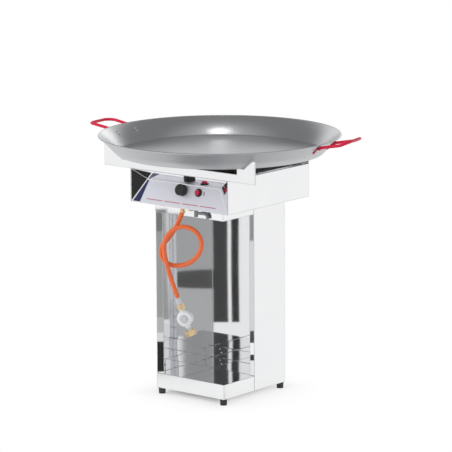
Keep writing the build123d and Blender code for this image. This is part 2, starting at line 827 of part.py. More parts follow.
# Burner: two hollow rings with their ports, a hub with four arms, and arms on to the outer ring, on legs
def ring_shape(radius, shrink):
    width = ring_width - 2 * shrink
    height = ring_height - 2 * shrink
    profile = Pos(radius, 0, ring_z + ring_height / 2) * Rot(90, 0, 0) * Rectangle(width, height)
    return revolve(profile, Axis.Z)


def arm_shape(shrink):
    width = arm_width - 2 * shrink
    bars = slab(
        -ring_radius, ring_radius, -width / 2, width / 2, ring_z + shrink, ring_z + ring_height - shrink)
    return bars + Rot(0, 0, 90) * bars


def make_ring(radius, count):
    ring = ring_shape(radius, 0) - ring_shape(radius, ring_wall) - arm_shape(ring_wall)
    for spot in PolarLocations(radius, count, start_angle=180 / count):
        ring -= spot * Pos(0, 0, ring_z + ring_height) * Cylinder(port_diameter / 2, 3 * ring_wall)
    return ring


def make_arms():
    hub = post(upright(0, 0, ring_z), 0, ring_height, hub_diameter / 2)
    arms = hub + arm_shape(0) - arm_shape(ring_wall)
    arms -= post(
        upright(0, 0, ring_z), -cut_over, ring_height - ring_wall, mixer_diameter / 2 - mixer_wall)
    return arms - ring_shape(ring_radius, -rest_gap) - ring_shape(inner_ring_radius, -rest_gap)


def make_legs():
    legs = []
    for radius, angle in leg_spots:
        bar = slab(radius - leg_thickness, radius, -leg_width / 2, leg_width / 2, plate_z, ring_z)
        bar += slab(
            radius - leg_thickness, radius + leg_foot, -leg_width / 2, leg_width / 2,
            plate_z, plate_z + leg_thickness)
        legs.append(Rot(0, 0, angle) * bar)
    top = plate_z + 2 * leg_thickness
    return drill(Compound(children=legs), leg_screws, plate_z - cut_over, top, small_screw_diameter)


# Mixer: bell mouth, tube and elbow up to the hub, with a slotted air shutter round the mouth
def make_mixer():
    points = [(0, mouth_y + bell_length / 2, mixer_z), (0, 0, mixer_z), (0, 0, ring_z)]
    outer, path = tube_along(points, [mixer_bend], mixer_diameter / 2)
    bore, path = tube_along(points, [mixer_bend], mixer_diameter / 2 - mixer_wall)
    wide = bell_diameter / 2
    narrow = mixer_diameter / 2
    mouth = Plane(origin=(0, mouth_y, mixer_z), z_dir=(0, 1, 0))
    bell = mouth * Cylinder(wide, bell_length / 2, align=standing)
    bell += mouth * (Pos(0, 0, bell_length / 2) * Cone(wide, narrow, bell_length / 2, align=standing))
    hollow = mouth * Cylinder(wide - mixer_wall, bell_length / 2, align=standing)
    hollow += mouth * (Pos(0, 0, bell_length / 2) * Cone(
        wide - mixer_wall, narrow - mixer_wall, bell_length / 2, align=standing))
    return outer + bell - bore - hollow


def make_shutter():
    mouth = Plane(origin=(0, mouth_y, mixer_z), z_dir=(0, 1, 0))
    inside = bell_diameter / 2 + running_gap
    back = bell_length / 2
    shutter = post(mouth, back - shutter_length, back, inside + shutter_wall)
    shutter -= post(mouth, back - shutter_length - cut_over, back + cut_over, inside)
    for spot in PolarLocations(inside + shutter_wall / 2, shutter_slots, start_angle=45):
        slot = Box(3 * shutter_wall, shutter_slot_width, shutter_slot_length)
        shutter -= mouth * (Pos(0, 0, back - shutter_length / 2) * spot * slot)
    return shutter


def make_jet_holder():
    face = Plane(origin=(0, holder_y, mixer_z), z_dir=(0, 1, 0))
    holder = post(face, 0, holder_length, holder_diameter / 2)
    half = holder_diameter / 3
    holder += slab(-half, half, holder_y, jet_y, plate_z, mixer_z)
    holder -= post(face, -cut_over, holder_length + cut_over, pipe_diameter / 2 + rest_gap)
    top = plate_z + holder_screw_depth
    return drill(holder, [holder_screw], plate_z - cut_over, top, small_screw_diameter)


def make_jet():
    face = Plane(origin=(0, jet_y, mixer_z), z_dir=(0, 1, 0))
    jet = hex_bar(face, 0, jet_hex_length, jet_flats)
    nose = Cone(jet_nose_diameter / 2, jet_nose_diameter / 3, jet_nose_length, align=standing)
    jet += face * (Pos(0, 0, jet_hex_length) * nose)
    return jet - post(face, -cut_over, jet_hex_length + jet_nose_length + cut_over, jet_bore / 2)


def make_supply():
    points = [supply_start, supply_corner, (0, jet_y - rest_gap, mixer_z)]
    pipe, path = tube_along(points, [supply_bend], pipe_diameter / 2)
    return pipe


def make_floor_screws():
    pieces = []
    spots = [(spot, leg_thickness) for spot in leg_screws]
    spots += [(spot, sheet) for spot in shield_screws]
    spots.append((sensor_post_at, sensor_plate_thickness))
    for (x, y), thickness in spots:
        top = upright(x, y, plate_z + thickness)
        length = thickness + sheet - rest_gap
        pieces.append(screw(top, small_screw_diameter, small_head_diameter, small_head_height, length))
    under = Plane(origin=(*holder_screw, box_z), z_dir=(0, 0, -1))
    length = sheet + holder_screw_depth - cut_over
    pieces.append(screw(under, small_screw_diameter, small_head_diameter, small_head_height, length))
    return Compound(children=pieces)


parts["heat_shield"] = make_shield()
parts["outer_burner_ring"] = make_ring(ring_radius, outer_ports)
parts["inner_burner_ring"] = make_ring(inner_ring_radius, inner_ports)
parts["burner_arms"] = make_arms()
parts["burner_legs"] = make_legs()
parts["mixer_tube"] = make_mixer()
parts["air_shutter"] = make_shutter()
parts["jet_holder"] = make_jet_holder()
parts["gas_jet"] = make_jet()
parts["supply_pipe"] = make_supply()
parts["floor_screws"] = make_floor_screws()

# Gas inlet under the housing: connector with a bent hose tail, and a branch elbow beside it
hose_along = Vector(math.cos(math.radians(hose_angle)), math.sin(math.radians(hose_angle)), 0)
hose_toward = Vector(math.sin(math.radians(hose_angle)), -math.cos(math.radians(hose_angle)), 0)
knuckle = Vector(inlet_x, inlet_y, box_z - knuckle_drop)
tail_turn = math.radians(tail_angle)
tail_down = hose_along * -math.sin(tail_turn) - Vector(0, 0, math.cos(tail_turn))
tail_plane = Plane(origin=knuckle, z_dir=tail_down)


def make_inlet():
    spot = upright(inlet_x, inlet_y, box_z)
    inlet = hex_bar(spot, -inlet_hex_height, 0, inlet_flats)
    inlet += post(spot, 0, sheet + inlet_thread_above, inlet_thread_diameter / 2)
    inlet += post(spot, -knuckle_drop, -inlet_hex_height, tail_diameter / 2)
    inlet += Pos(*knuckle) * Sphere(tail_diameter / 2)
    return inlet + post(tail_plane, 0, ferrule_neck, tail_diameter / 2)


def make_manifold():
    lift = plate_z + manifold_lift
    above = plate_z + inlet_thread_above
    pipe = post(upright(inlet_x, inlet_y, above), 0, lift + pipe_diameter - above, pipe_diameter / 2)
    pipe += post(upright(elbow_x, inlet_y, above), 0, lift - above, pipe_diameter / 2)
    cross = Plane(origin=(inlet_x, inlet_y, lift), z_dir=(1, 0, 0))
    pipe += post(cross, 0, elbow_x - inlet_x, pipe_diameter / 2)
    return pipe + Pos(elbow_x, inlet_y, lift) * Sphere(pipe_diameter / 2)


def make_elbow():
    spot = upright(elbow_x, inlet_y, box_z)
    elbow = post(spot, -elbow_drop, sheet + inlet_thread_above, elbow_diameter / 2)
    start = Vector(elbow_x, inlet_y, box_z - branch_drop)
    corner = start + hose_along * branch_reach
    points = [start, corner, corner - Vector(0, 0, branch_bend + branch_end)]
    branch, path = tube_along(points, [branch_bend], branch_diameter / 2)
    return elbow + branch


def make_inlet_nuts():
    nuts = []
    for x, diameter in ((inlet_x, inlet_thread_diameter), (elbow_x, elbow_diameter)):
        nuts.append(nut(upright(x, inlet_y, plate_z), 0, inlet_flats, inlet_nut_height, diameter))
    return Compound(children=nuts)


parts["inlet_connector"] = make_inlet()
parts["inlet_manifold"] = make_manifold()
parts["branch_elbow"] = make_elbow()
parts["inlet_nuts"] = make_inlet_nuts()

# Gas hose: its route from the tail, as (along the loop's plane, towards the front, height from the knuckle)
hose_start = tail_plane.from_local_coords((0, 0, ferrule_neck))
hose_route = [
    (-31, 0, -71), (-55, 0, -103), (-80, 0, -131), (-78, 0, -167), (-51, 1, -190),
    (-7, 3, -189), (32, 5, -172), (57, 8, -144), (68, 11, -111), (58, 14, -78),
    (28, 17, -56), (-10, 20, -55), (-43, 22, -77), (-61, 22, -111), (-60, 22, -150),
    (-49, 22, -189), (-39, 22, -228), (-9, 22, -306)]
hose_points = [hose_start, hose_start + tail_down * tail_run]
for step_along, step_toward, step_up in hose_route:
    hose_points.append(knuckle + hose_along * step_along + hose_toward * step_toward + Vector(0, 0, step_up))
hose_radii = []
for before, corner, after in zip(hose_points, hose_points[1:], hose_points[2:]):
    run_in = corner - before
    run_out = after - corner
    half_turn = math.radians(run_in.get_angle(run_out)) / 2
    hose_radii.append(0.45 * min(run_in.length, run_out.length) / math.tan(half_turn))
hose, hose_path = tube_along(hose_points, hose_radii, hose_diameter / 2)
parts["gas_hose"] = hose

hose_samples = 500
hose_marks = [hose_path @ (k / hose_samples) for k in range(hose_samples + 1)]
apart = int(hose_samples * 5 * hose_diameter / hose_path.length)
least_gap = min(
    (hose_marks[i] - hose_marks[j]).length - hose_diameter
    for i in range(len(hose_marks)) for j in range(i + apart, len(hose_marks)))
hose_section = math.pi * hose_diameter ** 2 / 4
print("hose radii", [round(radius, 1) for radius in hose_radii])
print("hose length", round(hose_path.length, 1), "least gap to itself", round(least_gap, 2))
print("hose volume share", round(hose.volume / (hose_section * hose_path.length), 4))

# Crimped ferrules, and the regulator that hangs in line with the hose's last run
end_down = (hose_points[-1] - hose_points[-2]).normalized()
hang_plane = Plane(origin=hose_points[-1], x_dir=hose_toward, z_dir=end_down)


def make_ferrule(plane, cover, neck):
    sleeve = post(plane, -neck, cover, ferrule_diameter / 2)
    rounded = sleeve.edges().filter_by(GeomType.CIRCLE)
    sleeve = fillet(rounded, ferrule_edge)
    sleeve -= post(plane, 0, cover + cut_over, hose_diameter / 2 + screw_gap)
    return sleeve


upper_ferrule_plane = Plane(origin=hose_start, z_dir=tail_down)
upper_ferrule = make_ferrule(upper_ferrule_plane, ferrule_cover, ferrule_neck - tail_diameter / 2)
upper_ferrule -= post(upper_ferrule_plane, -ferrule_neck, 0, tail_diameter / 2 + screw_gap)
lower_ferrule_plane = Plane(origin=hose_points[-1], z_dir=-end_down)
lower_neck = regulator_at - regulator_diameter / 2 - hose_nut_length - regulator_boss_in


def make_regulator():
    # puck with rounded edges, its round faces square to the hang, and a boss each way along the hang
    radius = regulator_diameter / 2
    puck = Cylinder(radius, regulator_thickness)
    puck = fillet(puck.edges().filter_by(GeomType.CIRCLE), regulator_edge)
    face = Plane(origin=plane_point(hang_plane, 0, 0, regulator_at), z_dir=hose_toward)
    body = face * puck
    boss = regulator_boss_diameter / 2
    body += post(hang_plane, lower_neck + hose_nut_length, regulator_at, boss)
    return body + post(hang_plane, regulator_at, regulator_at + radius + regulator_boss_out, boss)


def make_cap():
    face = Plane(origin=plane_point(hang_plane, 0, 0, regulator_at), z_dir=hose_toward)
    cap = Cylinder(cap_diameter / 2, cap_height, align=standing)
    cap = fillet(cap.edges().filter_by(GeomType.CIRCLE).sort_by(Axis.Z)[-1], cap_height / 3)
    return face * (Pos(0, 0, regulator_thickness / 2) * cap)


stem_start = regulator_at + regulator_diameter / 2 + regulator_boss_out
crown_end = cylinder_nut_at + nut_crown


def make_stem():
    stem = post(hang_plane, stem_start, crown_end + running_gap + stem_collar_length, stem_diameter / 2)
    collar_start = crown_end + running_gap
    return stem + post(
        hang_plane, collar_start, collar_start + stem_collar_length, stem_collar_diameter / 2)


def make_cylinder_nut():
    end = cylinder_nut_at + cylinder_nut_length
    body = hex_bar(hang_plane, cylinder_nut_at, end, cylinder_nut_flats)
    corner = cylinder_nut_flats / math.sqrt(3)
    turned = Cylinder(corner, cylinder_nut_length, align=standing)
    turned = chamfer(turned.edges().filter_by(GeomType.CIRCLE), (corner - cylinder_nut_flats / 2) * 0.9)
    body &= hang_plane * (Pos(0, 0, cylinder_nut_at) * turned)
    body -= post(hang_plane, cylinder_nut_at - cut_over, end, stem_diameter / 2 + running_gap)
    pocket = crown_end + stem_collar_length + 2 * running_gap
    body -= post(hang_plane, crown_end, end, stem_collar_diameter / 2 + running_gap)
    return body - post(hang_plane, pocket, end + cut_over, cylinder_thread_diameter / 2)


parts["upper_ferrule"] = upper_ferrule
parts["lower_ferrule"] = make_ferrule(lower_ferrule_plane, lower_cover, lower_neck)
parts["regulator_hose_nut"] = hex_bar(
    hang_plane, lower_neck, lower_neck + hose_nut_length, hose_nut_flats)
parts["regulator_body"] = make_regulator()
parts["regulator_cap"] = make_cap()
parts["regulator_stem"] = make_stem()
parts["cylinder_nut"] = make_cylinder_nut()


# Column: wrap of left side, back and the rear half of the right side, with folded edges
def make_column():
    wall_y = sheet - col_y
    column = slab(-col_x, sheet - col_x, wall_y, col_y, base_z, box_z)
    column += slab(-col_x, col_x, back_y - sheet, back_y, base_z, box_z)
    column += slab(col_x - sheet, col_x, seam_y, col_y, base_z, box_z)
    column += slab(-col_x, rear_return - col_x, col_y - sheet, col_y, base_z, box_z)
    column += slab(col_x - rear_return, col_x, col_y - sheet, col_y, base_z, box_z)
    flange_low = floor_z + rest_gap
    flange_high = box_z - sheet - rest_gap
    column += slab(-col_x, left_flange - col_x, wall_y, wall_y + sheet, flange_low, flange_high)
    column += slab(col_x - right_flange, col_x, seam_y, seam_y + sheet, flange_low, flange_high)
    top_z = box_z - sheet
    front = column_flange + rest_gap - col_y
    column += slab(-col_x, column_flange - col_x, front, col_y, top_z, box_z)
    column += slab(col_x - column_flange, col_x, seam_y, col_y, top_z, box_z)
    column += slab(-col_x, col_x, back_y - column_flange, back_y, top_z, box_z)
    front = base_flange + rest_gap - col_y
    column += slab(-col_x, base_flange - col_x, front, col_y, base_z, base_z + sheet)
    column += slab(col_x - base_flange, col_x, seam_y, col_y, base_z, base_z + sheet)
    column += slab(-col_x, col_x, back_y - base_flange, back_y, base_z, base_z + sheet)
    column = drill(column, column_bolts, top_z - sheet, box_z + sheet, foot_screw_diameter)
    column = drill(column, foot_spots, base_z - sheet, base_z + 2 * sheet, foot_screw_diameter)
    for plane in tray_screw_planes:
        column -= post(plane, -4 * sheet, sheet, small_screw_diameter / 2 + screw_gap)
    return column


def make_collar():
    low = box_z - collar_height
    end = seam_y - seam_gap
    collar = slab(-col_x, col_x, -col_y, sheet - col_y, low, box_z)
    collar += slab(col_x - sheet, col_x, -col_y, end, low, box_z)
    collar += slab(col_x - right_flange, col_x, end - sheet, end, low, box_z)
    left = sheet + rest_gap - col_x
    collar += slab(left, col_x, -col_y, column_flange - col_y, box_z - sheet, box_z)
    collar += slab(col_x - column_flange, col_x, -col_y, end, box_z - sheet, box_z)
    return drill(collar, column_bolts, box_z - 2 * sheet, box_z + sheet, foot_screw_diameter)


def make_tray():
    # floor plate with its front and right edges folded down as the plinth, left and back edges folded up
    left = sheet + rest_gap - col_x
    right = col_x - sheet - rest_gap
    back = back_y - sheet - rest_gap
    end = seam_y - seam_gap
    top = floor_z + tray_upstand
    tray = slab(left, right, -col_y, back, floor_z - sheet, floor_z)
    tray += slab(-col_x, col_x, -col_y, sheet - col_y, base_z, floor_z)
    tray += slab(right - sheet, col_x, -col_y, end, floor_z - sheet, floor_z)
    tray += slab(col_x - sheet, col_x, -col_y, end, base_z, floor_z)
    tray += slab(left, left + sheet, base_flange - col_y, back, floor_z - sheet, top)
    tray += slab(left, right - right_flange, back - sheet, back, floor_z - sheet, top)
    tray += slab(left, col_x, -col_y, base_flange - col_y, base_z, base_z + sheet)
    tray += slab(col_x - base_flange, col_x, -col_y, end, base_z, base_z + sheet)
    for plane in tray_screw_planes:
        tray -= post(plane, -2 * sheet, sheet, small_screw_diameter / 2 + screw_gap)
    return drill(tray, foot_spots, base_z - sheet, base_z + 2 * sheet, foot_screw_diameter)


foot_spots = [(sx * (col_x - foot_inset), sy * (col_y - foot_inset)) for sx in (-1, 1) for sy in (-1, 1)]
tray_screw_z = floor_z + tray_upstand / 2
upstand_x = 2 * sheet + rest_gap - col_x
upstand_y = back_y - 2 * sheet - rest_gap
tray_screw_planes = []
for spot in (-col_y + tray_screw_inset, back_y - tray_screw_inset):
    tray_screw_planes.append(Plane(origin=(upstand_x, spot, tray_screw_z), z_dir=(1, 0, 0)))
for spot in (-col_x + tray_screw_inset, col_x - tray_screw_inset):
    tray_screw_planes.append(Plane(origin=(spot, upstand_y, tray_screw_z), z_dir=(0, -1, 0)))


def make_tray_screws():
    length = 2 * sheet + rest_gap
    return Compound(children=[
        screw(plane, small_screw_diameter, small_head_diameter, small_head_height, length)
        for plane in tray_screw_planes])


def make_column_bolts():
    pieces = []
    for x, y in column_bolts:
        under = Plane(origin=(x, y, box_z - sheet), z_dir=(0, 0, -1))
        length = 2 * sheet + foot_nut_height + screw_end
        pieces.append(screw(under, foot_screw_diameter, foot_screw_head, foot_screw_head_height, length))
        above = upright(x, y, plate_z)
        pieces.append(nut(above, 0, foot_nut_flats, foot_nut_height, foot_screw_diameter))
    return Compound(children=pieces)


def make_feet():
    feet = []
    wide = foot_diameter / 2
    pocket = foot_screw_head / 2 + foot_pocket_gap
    for x, y in foot_spots:
        foot = Cone(wide - foot_taper / 2, wide, foot_height, align=standing)
        foot -= Cylinder(pocket, foot_recess_depth, align=standing)
        foot -= Cylinder(foot_screw_diameter / 2 + screw_gap, foot_height, align=standing)
        feet.append(Pos(x, y, 0) * foot)
    return Compound(children=feet)


def make_foot_screws():
    pieces = []
    length = foot_height - foot_recess_depth + sheet + foot_nut_height + screw_end
    for x, y in foot_spots:
        under = Plane(origin=(x, y, foot_recess_depth), z_dir=(0, 0, -1))
        pieces.append(screw(under, foot_screw_diameter, foot_screw_head, foot_screw_head_height, length))
        above = upright(x, y, base_z + sheet)
        pieces.append(nut(above, 0, foot_nut_flats, foot_nut_height, foot_screw_diameter))
    return Compound(children=pieces)


parts["column_wrap"] = make_column()
parts["column_collar"] = make_collar()
parts["floor_tray"] = make_tray()
parts["tray_screws"] = make_tray_screws()
parts["column_bolts"] = make_column_bolts()
parts["feet"] = make_feet()
parts["foot_screws"] = make_foot_screws()

os.makedirs("parts", exist_ok=True)
for name, shape in parts.items():
    export_step(shape, os.path.join("parts", name + ".step"))
print(len(parts), "nodes")
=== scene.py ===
import json
import math
import bmesh
import bpy
import numpy as np
from mathutils import Matrix, Vector


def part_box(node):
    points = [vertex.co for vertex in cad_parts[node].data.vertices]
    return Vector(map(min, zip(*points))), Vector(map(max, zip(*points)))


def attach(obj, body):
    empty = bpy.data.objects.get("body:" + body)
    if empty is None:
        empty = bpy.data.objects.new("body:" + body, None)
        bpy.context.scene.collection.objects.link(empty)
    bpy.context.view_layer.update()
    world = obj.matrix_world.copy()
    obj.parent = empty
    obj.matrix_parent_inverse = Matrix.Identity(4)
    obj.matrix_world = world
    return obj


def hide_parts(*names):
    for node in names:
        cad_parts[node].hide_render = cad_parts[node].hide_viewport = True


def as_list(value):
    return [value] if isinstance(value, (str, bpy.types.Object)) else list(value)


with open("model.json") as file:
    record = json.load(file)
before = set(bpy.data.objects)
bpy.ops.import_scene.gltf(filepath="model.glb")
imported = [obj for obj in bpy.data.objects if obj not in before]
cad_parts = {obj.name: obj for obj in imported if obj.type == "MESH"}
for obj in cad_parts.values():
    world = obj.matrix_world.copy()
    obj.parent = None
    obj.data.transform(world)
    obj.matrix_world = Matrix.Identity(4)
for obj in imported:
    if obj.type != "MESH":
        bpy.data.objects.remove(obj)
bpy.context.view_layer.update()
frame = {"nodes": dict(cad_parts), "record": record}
nodes = frame["nodes"]
scene = bpy.context.scene
print("frame loaded:", len(nodes), "nodes")

# camera: stands in front and to the right, looking down a little
cameraLook = {
    "place": (6.2908, -7.6591, 2.4731),
    "yaw": 39.29,  # degrees from +Y towards -X
    "pitch": 10.94,  # degrees below level
    "roll": -0.315,
    "lens": 243.72,
    "sensor": 36.0,
    "reach": 100.0,
}


def makeCamera(look):
    # axes: ahead from yaw and pitch, right level with the floor, then both turned by the roll
    yaw, pitch, roll = (math.radians(look[key]) for key in ("yaw", "pitch", "roll"))
    ahead = Vector((-math.sin(yaw) * math.cos(pitch), math.cos(yaw) * math.cos(pitch), -math.sin(pitch)))
    right = Vector((math.cos(yaw), math.sin(yaw), 0.0))
    up = right.cross(ahead)
    side = right * math.cos(roll) + up * math.sin(roll)
    top = up * math.cos(roll) - right * math.sin(roll)
    data = bpy.data.cameras.new("photoCamera")
    data.lens = look["lens"]
    data.sensor_width = look["sensor"]
    data.clip_end = look["reach"]
    camera = bpy.data.objects.new("photoCamera", data)
    scene.collection.objects.link(camera)
    axes = Matrix((side, top, -ahead)).transposed().to_4x4()
    camera.matrix_world = Matrix.Translation(look["place"]) @ axes
    scene.camera = camera


makeCamera(cameraLook)
print("camera made")

# gas hose: the route's points from the connector's knuckle: along the loop, towards the front, up
hoseLook = {
    "knuckle": (-0.006, -0.181, 0.641),
    "turn": 20.0,  # degrees of the loop's plane about Z
    "lean": 20.0,  # degrees of the first run from straight down
    "neck": 0.006,
    "run": 0.024,
    "diameter": 0.015,
    "length": 0.759,
    "route": [
        (-0.031, 0.0, -0.071), (-0.055, 0.0, -0.103), (-0.080, 0.0, -0.131), (-0.078, 0.0, -0.167),
        (-0.051, 0.001, -0.190), (-0.007, 0.003, -0.189), (0.032, 0.005, -0.172), (0.057, 0.008, -0.144),
        (0.068, 0.011, -0.111), (0.058, 0.014, -0.078), (0.028, 0.017, -0.056), (-0.010, 0.020, -0.055),
        (-0.043, 0.022, -0.077), (-0.061, 0.022, -0.111), (-0.060, 0.022, -0.150), (-0.049, 0.022, -0.189),
        (-0.039, 0.022, -0.228), (-0.009, 0.022, -0.306),
    ],
    "hangs": ["lower_ferrule", "regulator_hose_nut", "regulator_body", "regulator_cap",
              "regulator_stem", "cylinder_nut"],
    "steps": 16,  # along each span
    "roundSteps": 8,  # round the section
}


def hosePoints(look):
    # knuckle plus along, towards and up times their axes; the first two points lie on the lean's line
    turn, lean = math.radians(look["turn"]), math.radians(look["lean"])
    axes = np.array([
        (math.cos(turn), math.sin(turn), 0.0),
        (math.sin(turn), -math.cos(turn), 0.0),
        (0.0, 0.0, 1.0),
    ])
    down = np.array([-math.sin(lean), 0.0, -math.cos(lean)])
    local = np.vstack([down * look["neck"], down * (look["neck"] + look["run"]), np.array(look["route"])])
    return np.array(look["knuckle"]) + local @ axes


def makeHose(look):
    # one NURBS spline with the route as its control points, and a round section along it
    points = hosePoints(look)
    curve = bpy.data.curves.new("gasHose", "CURVE")
    curve.dimensions = "3D"
    spline = curve.splines.new("NURBS")
    spline.points.add(len(points) - 1)
    spline.points.foreach_set("co", np.column_stack([points, np.ones(len(points))]).ravel())
    spline.points.foreach_set("radius", np.full(len(points), look["diameter"] / 2))
    spline.order_u = 3
    spline.use_endpoint_u = True
    spline.use_smooth = True
    spline.resolution_u = look["steps"]
    curve.bevel_depth = 1.0  # times each point's radius
    curve.bevel_resolution = look["roundSteps"]
    curve.use_fill_caps = True
    piece = bpy.data.objects.new("gasHose", curve)
    scene.collection.objects.link(piece)
    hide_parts("gas_hose")
    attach(piece, "stand")
    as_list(look["hangs"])
    return piece


hose = makeHose(hoseLook)
for piece in (hose, *(nodes[name] for name in hoseLook["hangs"])):
    piece.visible_glossy = False  # left out of the column's mirror image
print("hose made")


def surfaceMesh(name, grid, poles, body, replaced):
    # grid[row, column]: quads between neighbours; columns close in rings, the end rows close in poles
    rows, columns = grid.shape[:2]
    index = np.arange(rows * columns).reshape(rows, columns)
    lower, upper = index[:-1], index[1:]
    quads = np.stack([lower, np.roll(lower, -1, axis=1), np.roll(upper, -1, axis=1), upper], axis=-1)
    start = np.stack([np.full(columns, rows * columns), np.roll(index[0], -1), index[0]], axis=-1)
    end = np.stack([np.full(columns, rows * columns + 1), index[-1], np.roll(index[-1], -1)], axis=-1)
    points = np.vstack([grid.reshape(-1, 3), poles])
    faces = quads.reshape(-1, 4).tolist() + start.tolist() + end.tolist()
    mesh = bpy.data.meshes.new(name)
    mesh.from_pydata(points.tolist(), [], faces)
    shape = bmesh.new()
    shape.from_mesh(mesh)
    bmesh.ops.recalc_face_normals(shape, faces=shape.faces)
    shape.to_mesh(mesh)
    shape.free()
    mesh.polygons.foreach_set("use_smooth", np.ones(len(mesh.polygons), dtype=bool))
    mesh.update()
    piece = bpy.data.objects.new(name, mesh)
    scene.collection.objects.link(piece)
    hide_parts(*replaced)
    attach(piece, body)
    return piece


def arcPoints(centre, radius, start, end, count):
    # points at equal angles on a circle in the profile's plane
    angle = np.radians(np.linspace(start, end, count))
    return np.column_stack([centre[0] + radius * np.cos(angle), centre[1] + radius * np.sin(angle)])


def levelPoints(start, end, height, count):
    # points at equal steps on a level line of the profile
    return np.column_stack([np.linspace(start, end, count), np.full(count, height)])


panLook = {
    "base": 0.340,
    "flare": 0.060,
    "depth": 0.061,
    "sheet": 0.002,
    "corner": 0.008,
    "bead": 0.0026,
    "pole": 0.02,  # smallest ring of the floor
    "flatEnd": 0.002,  # last ring of the floor before the corner
    "rings": {"floor": 24, "corner": 10, "bead": 26},
    "around": 288,
}
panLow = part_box("pan")[0].z
wallRun, wallRise = panLook["flare"] - panLook["bead"], panLook["depth"] - panLook["bead"]
wallSlope = math.atan2(wallRise, wallRun)


def makePan(look):
    # turned profile: floor, corner arc, straight flared wall, rolled bead, then the same inside
    slope = math.degrees(wallSlope)
    bend = math.tan(wallSlope / 2)
    outer = look["corner"] + look["sheet"]
    inside = look["base"] - look["sheet"] * bend
    inner = math.degrees(math.asin(look["sheet"] / look["bead"]))
    outerFlat, innerFlat = look["base"] - outer * bend, inside - look["corner"] * bend
    top = panLow + look["sheet"]
    rings, pole, flatEnd = look["rings"], look["pole"], look["flatEnd"]
    rim = (look["base"] + wallRun, panLow + wallRise)
    profile = np.vstack([
        levelPoints(pole, outerFlat - flatEnd, panLow, rings["floor"]),
        arcPoints((outerFlat, panLow + outer), outer, 270, 270 + slope, rings["corner"]),
        arcPoints(rim, look["bead"], slope - 180, slope + 180 - inner, rings["bead"]),
        arcPoints((innerFlat, top + look["corner"]), look["corner"], 270 + slope, 270, rings["corner"]),
        levelPoints(innerFlat - flatEnd, pole, top, rings["floor"]),
    ])
    angle = np.linspace(0.0, 2 * math.pi, look["around"], endpoint=False)
    grid = np.stack([
        profile[:, :1] * np.cos(angle),
        profile[:, :1] * np.sin(angle),
        np.repeat(profile[:, 1:], look["around"], axis=1),
    ], axis=-1)
    poles = np.array([(0.0, 0.0, panLow), (0.0, 0.0, top)])
    return surfaceMesh("panShell", grid, poles, "pan", ["pan"])


pan = makePan(panLook)
print("pan made")

handleLook = {
    "wire": 0.005,  # radius
    "turns": {"pan_handle_right": 12.0, "pan_handle_left": 186.0},
    "rises": {"pan_handle_right": 0.013, "pan_handle_left": 0.002},  # tip above the rim
    "overhang": 0.094,
    "footHalf": 0.052,
    "half": 0.056,
    "wideOut": 0.062,
    "tipHalf": 0.050,
    "midRise": 0.001,
    "bends": (0.010, 0.040, 0.024),
    "foot": (0.0428, 0.012, 0.007),  # foot's end, end of its straight, start of the bend, below the rim
    "footFlat": (0.0195, 0.0125),  # flat below the first, round wire above the second
    "flat": (0.0070, 0.0015),  # half width and half thickness of the flattened foot
    "square": 0.45,  # how far the flat foot's section goes from oval to square
    "leanLeast": 0.02,  # share of the wall's direction that the round wire's section keeps
    "gap": 0.0002,
    "plateDrop": 0.026,
    "footSteps": 48,
    "bendSteps": 14,
    "endSteps": (6.0, 0.05),  # steps that round a foot's end, and the narrowest of them
    "around": 28,
}


def smooth(value, low, high):
    # rise from 0 at low to 1 at high with level ends
    t = np.clip((value - low) / (high - low), 0.0, 1.0)
    return t * t * (3 - 2 * t)


def unit(vectors):
    # each vector divided by its length
    return vectors / np.linalg.norm(vectors, axis=-1, keepdims=True)


def roundedPath(points, radii, count):
    # straight runs joined by arcs: each corner becomes an arc tangent to both of its runs
    pieces = [points[:1]]
    for before, corner, after, radius in zip(points, points[1:], points[2:], radii):
        back, ahead = unit(before - corner), unit(after - corner)
        half = math.acos(np.clip(back @ ahead, -1, 1)) / 2
        middle, across = unit(back + ahead), unit(ahead - back)
        angle = np.linspace(half - math.pi / 2, math.pi / 2 - half, count)[:, None]
        centre = corner + middle * radius / math.sin(half)
        pieces.append(centre - middle * radius * np.cos(angle) + across * radius * np.sin(angle))
    pieces.append(points[-1:])
    return np.vstack(pieces)


def wallPoint(drop, out, swing):
    # place below the rim along the wall's outside and off the wall, swung about the pan's axis
    radius = panLook["base"] + wallRun - drop * math.cos(wallSlope) + out * math.sin(wallSlope)
    height = panLow + wallRise - drop * math.sin(wallSlope) - out * math.cos(wallSlope)
    return np.stack([radius * np.cos(swing), radius * np.sin(swing), height + 0 * radius], axis=-1)


def handlePath(look, node):
    # foot along the wall, loop round the corners, foot again; with the share of flat at each point
    rim = panLook["base"] + panLook["flare"]
    rimHeight = panLow + panLook["depth"]
    footRadius = panLook["base"] + wallRun - look["plateDrop"] * math.cos(wallSlope)
    swing = math.asin(look["footHalf"] / footRadius)
    low, straight, bend = look["foot"]
    drop = np.linspace(low, straight, look["footSteps"])
    flat = smooth(drop, look["footFlat"][1], look["footFlat"][0])
    out = (look["flat"][1] * flat + look["wire"] * (1 - flat)) + look["gap"]
    side = np.array([1.0, -1.0, 1.0])
    foot = wallPoint(drop, out, swing)
    wireOut = look["wire"] + look["gap"]
    corners = np.array([
        wallPoint(straight, wireOut, swing),
        wallPoint(bend, wireOut, swing),
        (rim + look["wideOut"], look["half"], rimHeight + look["midRise"]),
        (rim + look["overhang"] - look["wire"], look["tipHalf"], rimHeight + look["rises"][node]),
    ])
    radii = (*look["bends"], *look["bends"][::-1])
    loop = roundedPath(np.vstack([corners, corners[::-1] * side]), radii, look["bendSteps"])
    path = np.vstack([foot[:-1], loop, (foot[:-1] * side)[::-1]])
    share = np.concatenate([flat[:-1], np.zeros(len(loop)), flat[:-1][::-1]])[:, None]
    return path, share, swing


